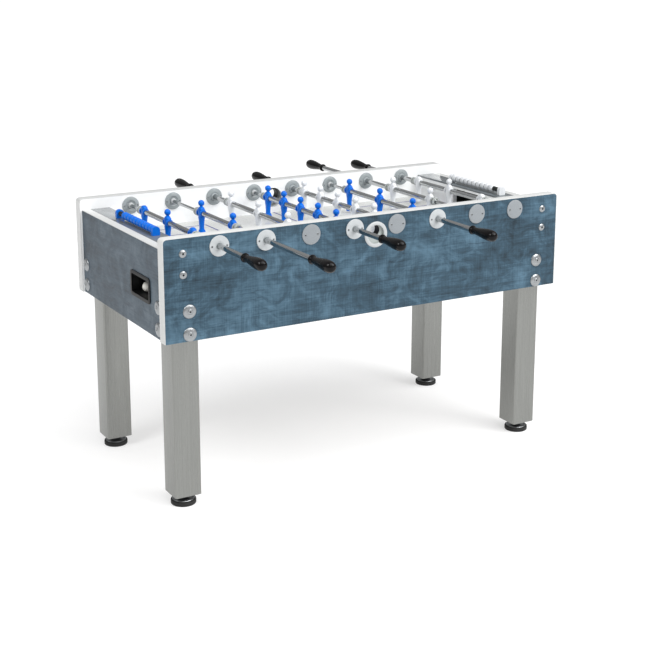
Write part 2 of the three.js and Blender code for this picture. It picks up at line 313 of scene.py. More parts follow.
@dataclass(frozen=True)
class DecorLaminate(Finish):
    """Washed-wood decor: soft clouds, long dark streaks of grain and a fine crossed tooth."""

    light: Colour = srgb(82, 112, 131)
    deep: Colour = srgb(29, 45, 55)

    def base(self, nodes: NodeTree) -> bpy.types.NodeSocket:
        """Returns the decor's colour.

        Args:
            nodes: the material's nodes.

        Returns:
            The colour.
        """
        tone = nodes.weighted([
            (nodes.noise((2.6, 2.6, 4.6), 4, 0.55, 0.9), 0.3),
            (nodes.noise((11, 11, 12), 6, 0.64, 1.4), 0.34),
            (nodes.noise((3.2, 3.2, 38), 5, 0.6, 0.8), 0.12),
            (nodes.noise((9, 9, 380), 3, 0.6), 0.13),
            (nodes.noise((380, 380, 9), 3, 0.6), 0.11),
        ])
        clouds = nodes.ramp(tone, [(0.4, self.deep), (0.5, self.colour), (0.6, self.light)])
        flecks = nodes.ramp(nodes.noise((8, 8, 70), 5, 0.66, 0.6),
                            [(0.3, (0.4, 0.42, 0.45)), (0.4, (1, 1, 1))])
        return nodes.mix(nodes.number(0.7), clouds, flecks, "MULTIPLY")


LAMINATE = DecorLaminate(
    "blue_wood_decor", "laminate", srgb(53, 78, 94), roughness=(0.36, 0.52), relief=mm(0.04),
    relief_grain=(60, 60, 900), specular=0.28)
# Same decor as the long walls, greyed and desaturated to paint the shade and the pale reflection that fall on
# the end faces.
END_LAMINATE_PAINTED_SHADE_AND_SHEEN = DecorLaminate(
    "wood_decor_painted_shade_and_sheen", "laminate", srgb(60, 75, 87), roughness=(0.36, 0.52), relief=mm(0.04),
    relief_grain=(60, 60, 900), specular=0.3, light=srgb(84, 98, 109), deep=srgb(36, 47, 56))
WHITE_BOARD = Finish("white_melamine", "board", srgb(242, 243, 243), shade=0.98, roughness=(0.38, 0.5),
                     specular=0.4)
EDGE_BAND = Finish("white_edge_band", "board", srgb(204, 205, 204), shade=0.95, roughness=(0.32, 0.44),
                   specular=0.4)
RAW_BOARD = Finish("raw_fibreboard", "board", srgb(118, 110, 101), shade=0.88, grain=(240, 240, 240),
                   roughness=(0.7, 0.85), specular=0.2)
FIELD = Finish("pale_grey_field", "playfield", srgb(196, 197, 195), shade=0.95, grain=(9, 9, 9),
               roughness=(0.26, 0.36), relief=mm(0.01))
LINES = Finish("navy_field_lines", "playfield", srgb(36, 44, 128), roughness=(0.3, 0.4))
GREY_PLATE = Finish("gloss_grey_plate", "grey_plate", srgb(104, 110, 114), shade=0.96, grain=(14, 14, 14),
                    roughness=(0.05, 0.1), specular=0.4, relief=0.0)
BLACK_LINING = Finish("black_lining", "black_plastic", srgb(20, 26, 24), roughness=(0.5, 0.7))
# Black plastic of the ball trays; on the ball-entry tube it also paints the shade inside the hole.
TRAY_PLASTIC_AND_HOLE_SHADE = Finish("black_tray_plastic_and_hole_shade", "black_plastic", srgb(12, 13, 14), roughness=(0.4, 0.52),
                      specular=0.25)
BLUE = Finish("blue_moulded_plastic", "blue_plastic", srgb(0, 106, 214), shade=0.9, roughness=(0.24, 0.36),
              specular=0.25)
WHITE = Finish("white_moulded_plastic", "white_plastic", srgb(226, 229, 232), shade=0.96,
               roughness=(0.25, 0.36))
RING_WHITE = Finish("white_ring_plastic", "white_plastic", srgb(182, 185, 186), shade=0.95,
                    roughness=(0.36, 0.46))
# The cup is of pale plastic like its ring; this greyer, faintly green colour paints the shade inside the
# recessed cup.
CUP_PAINTED_SHADE = Finish("cup_plastic_painted_shade", "flange_plastic", srgb(170, 176, 174), shade=0.92,
                  roughness=(0.4, 0.55))
FLANGE = Finish("pale_flange_plastic", "flange_plastic", srgb(186, 190, 192), shade=0.94,
                roughness=(0.34, 0.45))
CAP = Finish("grey_cap_plastic", "flange_plastic", srgb(141, 146, 150), shade=0.88, grain=(260, 260, 260),
             roughness=(0.42, 0.55), specular=0.35, relief=mm(0.06), relief_grain=(500, 500, 500))
CONE = Finish("grey_cone_plastic", "flange_plastic", srgb(150, 157, 159), shade=0.9, roughness=(0.26, 0.38))
GRIP = Finish("black_gloss_grip", "grip_plastic", srgb(8, 7, 8), roughness=(0.18, 0.28), specular=0.2)
CHROME = Finish("chrome_tube", "chrome", srgb(184, 186, 187), shade=0.94, grain=(300, 8, 300),
                roughness=(0.06, 0.14), metallic=1.0, relief=mm(0.004), relief_grain=(900, 20, 900))
ZINC = Finish("zinc_screw", "chrome", srgb(164, 167, 169), shade=0.88, roughness=(0.32, 0.44), metallic=1.0)
# Near-black floor put in screw recesses and bolt sockets: painted shade inside the hollows.
PIT_PAINTED_SHADE = Finish("screw_pit_painted_shade", "black_plastic", srgb(24, 24, 26), roughness=(0.6, 0.8))
LEG_STEEL = Finish("brushed_leg_steel", "leg_steel", srgb(144, 145, 142), shade=0.88, grain=(420, 420, 5),
                   roughness=(0.24, 0.36), metallic=0.96, relief=mm(0.015), relief_grain=(1500, 1500, 14))
RUBBER = Finish("black_rubber", "rubber", srgb(25, 25, 25), roughness=(0.6, 0.8), relief=mm(0.05))
BUMPER_RUBBER = Finish("clear_grey_bumper", "rubber", srgb(176, 181, 179), shade=0.8, roughness=(0.2, 0.34))
BUMPER_BAND = Finish("dark_bumper_band", "rubber", srgb(46, 49, 48), roughness=(0.4, 0.5))
BALL_PLASTIC = Finish("white_ball", "white_plastic", srgb(236, 234, 226), shade=0.95, roughness=(0.4, 0.55))


# ---------------------------------------------------------------- mesh tools


class Shape:
    """A bmesh that is shaped by operators and then handed over as one piece."""

    def __init__(self) -> None:
        """Starts with nothing."""
        self.bm = bmesh.new()

    def turned(self, profile: Sequence[Point], steps: int = 48) -> "Shape":
        """Adds a solid of revolution about Z.

        Args:
            profile: radius and height in millimetres; it starts and ends on the axis, or is a ring
                whose last point joins its first.
            steps: sides of the turning.

        Returns:
            This shape.
        """
        closed = profile[0][0] > 0 or profile[-1][0] > 0
        verts = [self.bm.verts.new((mm(radius), 0, mm(height))) for radius, height in profile]
        pairs = list(zip(verts, verts[1:] + verts[:1])) if closed else list(zip(verts, verts[1:]))
        edges = [self.bm.edges.new(pair) for pair in pairs]
        bmesh.ops.spin(self.bm, geom=verts + edges, cent=(0, 0, 0), axis=(0, 0, 1), angle=FULL_TURN,
                       steps=steps, use_merge=True, use_duplicate=False)
        return self.welded()

    def welded(self) -> "Shape":
        """Merges doubles, drops what has no area and turns the faces outwards.

        Returns:
            This shape.
        """
        bmesh.ops.remove_doubles(self.bm, verts=self.bm.verts, dist=WELD)
        bmesh.ops.dissolve_degenerate(self.bm, edges=self.bm.edges, dist=WELD)
        bmesh.ops.recalc_face_normals(self.bm, faces=self.bm.faces)
        return self

    def block(self, low: Sequence[float], high: Sequence[float], edge: float = 0.0,
              segments: int = 3) -> "Shape":
        """Adds a box between two corners, in metres, with its edges rounded by ``edge``.

        Args:
            low: the lowest corner.
            high: the highest corner.
            edge: rounding of the edges.
            segments: steps of the rounding.

        Returns:
            This shape.
        """
        size = [b - a for a, b in zip(low, high)]
        middle = [(a + b) / 2 for a, b in zip(low, high)]
        place = Matrix.Translation(middle) @ Matrix.Diagonal((*size, 1))
        made = bmesh.ops.create_cube(self.bm, size=1, matrix=place)
        if edge:
            edges = list({e for v in made["verts"] for e in v.link_edges})
            self.bevel(edges, edge, segments)
        return self

    def bevel(self, edges: Iterable[bmesh.types.BMEdge], width: float, segments: int = 2) -> "Shape":
        """Rounds the given edges.

        Args:
            edges: the edges to round.
            width: how far the rounding reaches.
            segments: steps of the rounding.

        Returns:
            This shape.
        """
        bmesh.ops.bevel(self.bm, geom=list(edges), offset=width, offset_type="OFFSET", affect="EDGES",
                        segments=segments, profile=0.5, material=-1, clamp_overlap=True)
        return self

    def slab(self, outline: Sequence[Point], depth: float, holes: Sequence[Sequence[Point]] = (),
             edge: float = 0.0) -> "Shape":
        """Adds a flat plate, drawn in X and Y in metres and raised along Z from 0 to ``depth``.

        Args:
            outline: the plate's corners.
            depth: its thickness.
            holes: outlines cut through it.
            edge: rounding of the top outer edge.

        Returns:
            This shape.
        """
        edges = []
        for loop in (outline, *holes):
            verts = [self.bm.verts.new((x, y, 0)) for x, y in loop]
            edges += [self.bm.edges.new(pair) for pair in zip(verts, verts[1:] + verts[:1])]
        filled = bmesh.ops.triangle_fill(self.bm, use_beauty=True, use_dissolve=False, edges=edges)
        faces = [item for item in filled["geom"] if isinstance(item, bmesh.types.BMFace)]
        raised = bmesh.ops.extrude_face_region(self.bm, geom=faces)["geom"]
        top = [item for item in raised if isinstance(item, bmesh.types.BMVert)]
        bmesh.ops.translate(self.bm, verts=top, vec=(0, 0, depth))
        bmesh.ops.reverse_faces(self.bm, faces=[f for f in faces if f.is_valid])
        self.welded()
        if edge:
            corners = [Vector((x, y, depth)) for x, y in outline]
            rim = [e for e in self.bm.edges if not e.is_boundary and self.on_rim(e, corners)]
            self.bevel(rim, edge)
        return self

    @staticmethod
    def on_rim(edge: bmesh.types.BMEdge, corners: Sequence[Vector]) -> bool:
        """Says whether an edge runs between two neighbouring corners of a plate's top outline.

        Args:
            edge: the edge.
            corners: the outline's corners, in order.

        Returns:
            Whether it lies on the rim.
        """
        found = []
        for vert in edge.verts:
            near = [i for i, corner in enumerate(corners) if (vert.co - corner).length < WELD]
            if not near:
                return False
            found.append(near[0])
        return abs(found[0] - found[1]) in (1, len(corners) - 1)

    def lofted(self, sections: Sequence[Tuple[float, float, float, float]], power: float = 2.6,
               sides: int = 16) -> "Shape":
        """Adds a closed skin over rounded sections stacked along Z.

        Args:
            sections: height, half width along Y, half depth along X and offset along X, in millimetres.
            power: 2 gives ellipses; larger gives squarer sections.
            sides: points on each section.

        Returns:
            This shape.
        """
        rings = []
        for height, width, depth, offset in sections:
            made = bmesh.ops.create_circle(self.bm, cap_ends=False, segments=sides, radius=1)
            for vert in made["verts"]:
                angle = math.atan2(vert.co.y, vert.co.x)
                x, y = (math.copysign(abs(c) ** (2 / power), c) for c in (math.cos(angle), math.sin(angle)))
                vert.co = Vector((mm(x * depth + offset), mm(y * width), mm(height)))
            rings.append(list({e for v in made["verts"] for e in v.link_edges}))
        for lower, upper in zip(rings, rings[1:]):
            bmesh.ops.bridge_loops(self.bm, edges=lower + upper)
        for ring in (rings[0], rings[-1]):
            bmesh.ops.contextual_create(self.bm, geom=ring)
        bmesh.ops.recalc_face_normals(self.bm, faces=self.bm.faces)
        return self

    def moved(self, matrix: Matrix) -> "Shape":
        """Moves everything made so far."""
        bmesh.ops.transform(self.bm, matrix=matrix, verts=self.bm.verts)
        return self

    def add(self, other: "Shape", matrix: Matrix = Matrix()) -> "Shape":
        """Adds a copy of another shape, moved by a matrix.

        Args:
            other: the shape to copy.
            matrix: where the copy goes.

        Returns:
            This shape.
        """
        copy = other.bm.copy()
        bmesh.ops.transform(copy, matrix=matrix, verts=copy.verts)
        holder = bpy.data.meshes.new("holder")
        copy.to_mesh(holder)
        copy.free()
        self.bm.from_mesh(holder)
        bpy.data.meshes.remove(holder)
        return self

    def piece(self, name: str, finish: Finish, body: str = "table", replaces: Sequence[str] = (),
              round_up: int = 0, crease: float = 32) -> bpy.types.Object:
        """Makes the shape a piece of the table.

        Args:
            name: the piece's name.
            finish: its finish.
            body: the moving body that it rides on.
            replaces: the frame's nodes that it stands for.
            round_up: levels of subdivision surface.
            crease: the angle in degrees past which an edge stays sharp.

        Returns:
            The new object.
        """
        mesh = bpy.data.meshes.new(name)
        self.bm.to_mesh(mesh)
        self.bm.free()
        mesh.shade_smooth()
        mesh.set_sharp_from_angle(angle=math.radians(crease))
        made = bpy.data.objects.new(name, mesh)
        bpy.context.scene.collection.objects.link(made)
        if round_up:
            modifier = made.modifiers.new("rounded", "SUBSURF")
            modifier.levels = modifier.render_levels = round_up
        made.data.materials.append(finish.material())
        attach(made, body)
        if replaces:
            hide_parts(*replaces)
        log.info("%s on %s", name, body)
        return made


def rounded_outline(x0: float, y0: float, x1: float, y1: float, radii: Sequence[float] = (0, 0, 0, 0),
                    steps: int = 8) -> List[Point]:
    """Returns a rounded rectangle's points; ``radii`` run from the corner (x0, y0) anticlockwise.

    Args:
        x0: the low side along X.
        y0: the low side along Y.
        x1: the high side along X.
        y1: the high side along Y.
        radii: the rounding of each corner.
        steps: steps of each rounding.

    Returns:
        The outline's points.
    """
    quarter = math.pi / 2
    corners = ((x0, y0, 1, 1, 2 * quarter), (x1, y0, -1, 1, 3 * quarter), (x1, y1, -1, -1, 0),
               (x0, y1, 1, -1, quarter))
    points = []
    for (x, y, sx, sy, start), radius in zip(corners, radii):
        if not radius:
            points.append((x, y))
            continue
        centre = (x + sx * radius, y + sy * radius)
        for step in range(steps + 1):
            angle = start + step / steps * quarter
            points.append((centre[0] + radius * math.cos(angle), centre[1] + radius * math.sin(angle)))
    return points


def circle_outline(x: float, y: float, radius: float, steps: int = 40) -> List[Point]:
    """Returns the points of a circle.

    Args:
        x: the middle's X.
        y: the middle's Y.
        radius: the radius.
        steps: the number of points.

    Returns:
        The points.
    """
    return [(x + radius * math.cos(k / steps * FULL_TURN), y + radius * math.sin(k / steps * FULL_TURN))
            for k in range(steps)]


def standing(direction: str, at: Sequence[float]) -> Matrix:
    """Returns the placing that lays local +Z along a signed axis, such as ``-y``, at a point.

    Local X then runs along the table for ``y`` and across it for ``x``, and local Y runs up.

    Args:
        direction: a sign and an axis.
        at: where the origin goes, in metres.

    Returns:
        The placing.
    """
    turns = {
        "-y": Matrix(((1, 0, 0), (0, 0, -1), (0, 1, 0))),
        "+y": Matrix(((-1, 0, 0), (0, 0, 1), (0, 1, 0))),
        "-x": Matrix(((0, 0, -1), (-1, 0, 0), (0, 1, 0))),
        "+x": Matrix(((0, 0, 1), (1, 0, 0), (0, 1, 0))),
        "+z": Matrix(((1, 0, 0), (0, 1, 0), (0, 0, 1))),
    }
    return Matrix.Translation(at) @ turns[direction].to_4x4()


def along(side: int, axis: str = "y") -> str:
    """Returns the signed axis name that points to a side."""
    return ("+" if side > 0 else "-") + axis


# ---------------------------------------------------------------- fasteners


@dataclass(frozen=True)
class Screw:
    """A round-headed screw with a recess, seen from outside: a head and a recess floor painted near black as
    shade.
    """

    radius: float
    height: float
    recess: float

    def add_to(self, heads: Shape, pits: Shape, place: Matrix) -> None:
        """Adds this screw's head and recess floor to two gathering shapes.

        Args:
            heads: gathers the heads.
            pits: gathers the recess floors, which carry painted shade.
            place: the placing, with local +Z out of the head.
        """
        r, h, p = self.radius, self.height, self.recess
        dome = [(p, 0), (r, 0), (r * 0.97, h * 0.35), (r * 0.75, h * 0.85), (p * 1.35, h), (p, h)]
        floor = [(0, 0), (p, 0), (p, h * 0.25), (0, h * 0.25)]
        heads.add(Shape().turned(dome, 24), place)
        pits.add(Shape().turned(floor, 12), place)


FLANGE_SCREW = Screw(3.6, 1.4, 2.3)
PANEL_SCREW = Screw(12.5, 4.0, 3.4)


# ---------------------------------------------------------------- rods


class Side(Enum):
    """The side of the table that a rod's handle is on."""

    NEAR = -1
    FAR = 1


@dataclass(frozen=True)
class Men:
    """How the men stand on one kind of rod."""

    count: int
    spacing: float
    headless: Tuple[int, ...] = ()

    def places(self) -> List[float]:
        """Returns each man's place along the rod from its middle, in millimetres."""
        return [(i - (self.count - 1) / 2) * self.spacing for i in range(self.count)]


class Line(Enum):
    """The four kinds of rod."""

    GOALKEEPERS = Men(3, 202, (0, 2))
    DEFENDERS = Men(2, 246)
    MIDFIELD = Men(5, 122)
    ATTACKERS = Men(3, 212)


@dataclass
class PlayerRod:
    """One rod: hollow tube, men, bumpers, handle, the inner rod and both bearings."""

    number: int
    side: Side
    team: Finish
    line: Line
    facing: int
    tube_radius: float = 9.0
    bore_radius: float = 6.6
    inner_radius: float = 6.0
    bumper_length: float = 22.0
    bumper_radius: float = 14.0
    man_half_width: float = 17.0
    arm_spread: float = 13.4
    boss_start: float = 11.0
    mouth_chamfer: float = 0.8

    def __post_init__(self) -> None:
        """Reads the rod's axis, middle and ends from the frame."""
        self.body = f"player_rod_{self.number}"
        low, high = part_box(self.body)
        inner_low, inner_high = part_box(f"inner_rod_{self.number}")
        self.axis = (inner_low + inner_high) / 2
        blank_end = high.y if self.side is Side.NEAR else low.y
        self.face = self.line.value.places()[-1] + self.man_half_width + self.bumper_length
        self.middle = blank_end + self.side.value * mm(self.face)
        self.tube = (low.y, high.y)

    def point(self, y: float) -> Tuple[float, float, float]:
        """Returns the point of the rod's axis at y, in metres."""
        return self.axis.x, y, self.axis.z

    def build(self) -> None:
        """Builds every piece of the rod."""
        self.build_tube()
        self.build_inner_rod()
        for index, place in enumerate(self.line.value.places()):
            self.build_man(index, self.middle + mm(place))
        self.build_bumpers()
        self.build_handle()
        Bearing(self.number, self.side, self.axis, self.tube_radius).build()
        BlankBearing(self.number, self.side, self.axis, self.inner_radius).build()

    def build_tube(self) -> None:
        """Builds the polished outer tube with its chamfered mouth."""
        length = (self.tube[1] - self.tube[0]) * 1000
        r, b, c = self.tube_radius, self.bore_radius, self.mouth_chamfer
        profile = [(b, 0), (r - c, 0), (r, c), (r, length - c), (r - c, length), (b, length)]
        tube = Shape().turned(profile, 40).moved(standing("+y", self.point(self.tube[0])))
        tube.piece(f"rod_tube_{self.number}", CHROME, self.body, [self.body])

    def build_inner_rod(self) -> None:
        """Builds the thin rod that the tube slides on."""
        low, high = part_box(f"inner_rod_{self.number}")
        length = (high.y - low.y) * 1000
        r, c = self.inner_radius, self.mouth_chamfer
        rod = Shape().turned([(0, 0), (r - c, 0), (r, c), (r, length - c), (r - c, length), (0, length)], 32)
        rod.moved(standing("+y", self.point(low.y)))
        rod.piece(f"inner_shaft_{self.number}", CHROME, f"inner_rod_{self.number}",
                  [f"inner_rod_{self.number}"])

    def build_man(self, index: int, y: float) -> None:
        """Builds one moulded man: legs and shoe, trunk with arms, head and the bosses round the tube.

        Args:
            index: the man's place from the near end, from 0.
            y: the middle of the man along the rod, in metres.
        """
        headless = index in self.line.value.headless
        shoe = [(-76, 9.8, 11.5, 1), (-75, 11, 13, 1), (-66, 11.2, 13, 0.8), (-61, 10.6, 11, 0.4)]
        leg = [(-57, 9.4, 8, 0), (-50, 9.2, 7.4, 0), (-40, 10.4, 8.6, -0.4), (-31, 10.2, 8.6, 0),
               (-24, 11.6, 9.8, 0.2)]
        trunk = [(-18, 13, 10.6, 0), (-12, 13.2, 10.6, 0), (-6, 13.4, 10, 0), (1, 15, 10.8, 0),
                 (8, 16.4, 11, 0), (13, 16.8, 10.2, 0), (17, 14.6, 8.6, 0), (20, 8.6, 6.8, 0)]
        top = [(21.4, 4, 3.4, 0)] if headless else [(22, 5.6, 5.6, 0), (24.5, 5.2, 5.4, 0)]
        man = Shape().lofted(shoe + leg + trunk + top)
        if not headless:
            head = [(23.6, 4.4, 4.8, 0), (26.4, 8.2, 8.8, 0.4), (30.4, 10.3, 10.8, 0.3),
                    (34.6, 10.8, 11.2, 0), (39, 9.8, 10.2, -0.2), (43, 6.4, 6.8, -0.3),
                    (44.8, 1.8, 2, -0.3)]
            man.add(Shape().lofted(head, power=2.1))
        arm = [(-15, 1.6, 3.2, 0.6), (-13, 3, 4.8, 0.6), (-4, 3.1, 5, 0), (6, 3.4, 5.4, -0.4),
               (13, 3.1, 5, -0.4), (17, 1.4, 2.8, -0.4)]
        for hand in (-1, 1):
            man.add(Shape().lofted(arm), Matrix.Translation((0, mm(self.arm_spread * hand), 0)))
        turn = Matrix.Rotation(0 if self.facing > 0 else math.pi, 4, "Z")
        man.moved(Matrix.Translation(self.point(y)) @ turn)
        man.piece(f"man_{self.number}_{index + 1}", self.team, self.body, round_up=1, crease=60)
        self.build_bosses(index, y)

    def build_bosses(self, index: int, y: float) -> None:
        """Builds the two collars that hold a man on the tube.

        Args:
            index: the man's place from the near end, from 0.
            y: the middle of the man along the rod, in metres.
        """
        bore = self.tube_radius + 0.1
        collar = [(bore, 0), (12.6, 0), (12.2, 5.4), (11.4, 6.4), (bore, 6.4)]
        boss = Shape()
        for hand in (-1, 1):
            place = standing(along(hand), self.point(y + hand * mm(self.boss_start)))
            boss.add(Shape().turned(collar, 32), place)
        boss.piece(f"man_boss_{self.number}_{index + 1}", self.team, self.body)

    def build_bumpers(self) -> None:
        """Builds the rubber rings outside the two outermost men."""
        r, b, n = self.bumper_radius, self.tube_radius + 0.05, self.bumper_length
        profile = [(b, 0), (r - 1.6, 0), (r - 0.4, 0.8), (r, 2.4), (r, n * 0.36), (r - 1.4, n * 0.42),
                   (r - 1.4, n * 0.58), (r, n * 0.64), (r, n - 2.4), (r - 0.4, n - 0.8), (r - 1.6, n), (b, n)]
        belt = [(r - 1.35, n * 0.44), (r - 0.5, n * 0.46), (r - 0.5, n * 0.54), (r - 1.35, n * 0.56)]
        for hand, label in ((-1, "near"), (1, "far")):
            place = standing(along(hand), self.point(self.middle + hand * mm(self.face - n)))
            ring = Shape().turned(profile, 40).moved(place)
            ring.piece(f"bumper_{self.number}_{label}", BUMPER_RUBBER, self.body)
            band = Shape().turned(belt, 40).moved(place)
            band.piece(f"bumper_band_{self.number}_{label}", BUMPER_BAND, self.body)

    def build_handle(self) -> None:
        """Builds the turned grip with its collar bead and rounded end."""
        node = f"handle_{self.number}"
        low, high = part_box(node)
        inner_end = high.y if self.side is Side.NEAR else low.y
        bore = self.tube_radius + 0.2
        profile = [(0, 62), (bore, 62), (bore, 0), (11.6, 0), (13.4, 1), (14.5, 3.6), (14.5, 6.4),
                   (13.4, 9.6), (12.2, 11.8), (11.4, 15), (11.2, 20), (11.6, 27), (12.8, 38), (14.6, 52),
                   (16.6, 68), (18.0, 82), (18.5, 94), (18.3, 104), (17.2, 112), (14.6, 119), (10.4, 123.2),
                   (5.4, 124.8), (0, 125)]
        grip = Shape().turned(profile, 48).moved(standing(along(self.side.value), self.point(inner_end)))
        grip.piece(f"grip_{self.number}", GRIP, self.body, [node], crease=50)


@dataclass
class Bearing:
    """The handle-side bearing: outer flange with a hub and screws, sleeve, and the inner cone."""

    number: int
    side: Side
    axis: Vector
    bore: float
    flange_radius: float = 33.0
    cone_radius: float = 31.0
    screw_circle: float = 25.0

    def faces(self) -> Tuple[float, float]:
        """Returns the wall's outer and inner faces, in metres."""
        low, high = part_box("near_side_wall" if self.side is Side.NEAR else "far_side_wall")
        return (low.y, high.y) if self.side is Side.NEAR else (high.y, low.y)

    def build(self) -> None:
        """Builds the bearing's pieces."""
        outer, inner = self.faces()
        out, away = along(self.side.value), along(-self.side.value)
        b, r = self.bore + 0.35, self.flange_radius
        node = f"bearing_{self.number}"
        disc = [(b + 2.4, 0.3), (r - 0.6, 0.3), (r, 0.9), (r, 2.6), (r - 0.8, 3.6), (r - 2.4, 3.9),
                (15.8, 4.1), (15, 4.1), (14.2, 3.4), (b + 2.4, 3.4)]
        place = standing(out, (self.axis.x, outer, self.axis.z))
        Shape().turned(disc, 56).moved(place).piece(f"outer_flange_{self.number}", FLANGE, replaces=[node])
        hub = [(b, -34), (15.9, -34), (15.9, 0.2), (b + 2.3, 0.2), (b + 2.3, 3.9), (b + 1.6, 4.3), (b, 4.3)]
        Shape().turned(hub, 40).moved(place).piece(f"bearing_sleeve_{self.number}", CONE)
        back = standing(away, (self.axis.x, inner, self.axis.z))
        c = self.cone_radius
        cone = [(b + 0.2, 0.3), (c - 0.5, 0.3), (c, 1), (c - 0.5, 3.2), (c - 2.4, 4), (17.5, 5.4),
                (15.5, 4.2), (14.2, 4.2), (12.6, 11), (11.6, 12), (b + 0.2, 12)]
        Shape().turned(cone, 56).moved(back).piece(f"inner_cone_{self.number}", CONE)
        screw_flange(f"flange_screws_{self.number}", place, self.screw_circle, 3.7)
        screw_flange(f"cone_screws_{self.number}", back, self.screw_circle - 1, 4.2)


def screw_flange(name: str, place: Matrix, circle: float, height: float) -> None:
    """Builds the two small screws of a round flange, at its left and right.

    Args:
        name: the heads' piece name; the recess floors, painted dark as shade, add ``_pits``.
        place: the flange's placing, with local +Z out of its face.
        circle: the screws' distance from its middle, in millimetres.
        height: the face's height, in millimetres.
    """
    heads, pits = Shape(), Shape()
    for hand in (-1, 1):
        FLANGE_SCREW.add_to(heads, pits, place @ Matrix.Translation((mm(circle * hand), 0, mm(height))))
    heads.piece(name, ZINC)
    # The recess floors are painted near black as the shade inside each recess.
    pits.piece(f"{name}_pits", PIT_PAINTED_SHADE)


@dataclass
class BlankBearing:
    """The other end of a rod: a plain cap outside and the inner rod's cone inside."""

    number: int
    side: Side
    axis: Vector
    shaft: float
    cap_radius: float = 33.0
    cone_radius: float = 31.0
    screw_circle: float = 22.0

    def build(self) -> None:
        """Builds the cap, the cone with its hub, and their screws."""
        low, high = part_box("far_side_wall" if self.side is Side.NEAR else "near_side_wall")
        outer, inner = (high.y, low.y) if self.side is Side.NEAR else (low.y, high.y)
        out, away = along(-self.side.value), along(self.side.value)
        place = standing(out, (self.axis.x, outer, self.axis.z))
        back = standing(away, (self.axis.x, inner, self.axis.z))
        r, c, b = self.cap_radius, self.cone_radius, self.shaft + 0.25
        cap = [(0, 0.3), (r - 0.5, 0.3), (r, 0.8), (r, 2.2), (r - 0.7, 3.2), (r - 2.2, 3.7), (r * 0.5, 4.1),
               (0, 4.2)]
        Shape().turned(cap, 56).moved(place).piece(f"wall_cap_{self.number}", CAP)
        cone = [(b, 0.3), (c - 0.5, 0.3), (c, 1), (c - 0.5, 3.2), (c - 2.4, 4), (19, 5.2), (17.4, 3.6),
                (10.6, 1.6), (b, 1.6)]
        Shape().turned(cone, 56).moved(back).piece(f"blank_cone_{self.number}", CONE)
        hub = [(b, 1.8), (9.6, 1.8), (10.2, 4), (9.6, 9), (8.2, 11.4), (b, 12)]
        Shape().turned(hub, 32).moved(back).piece(f"blank_hub_{self.number}", RING_WHITE)
        screw_flange(f"cap_screws_{self.number}", place, self.screw_circle, 3.7)
        screw_flange(f"blank_cone_screws_{self.number}", back, self.screw_circle + 2, 4.2)


# ---------------------------------------------------------------- cabinet


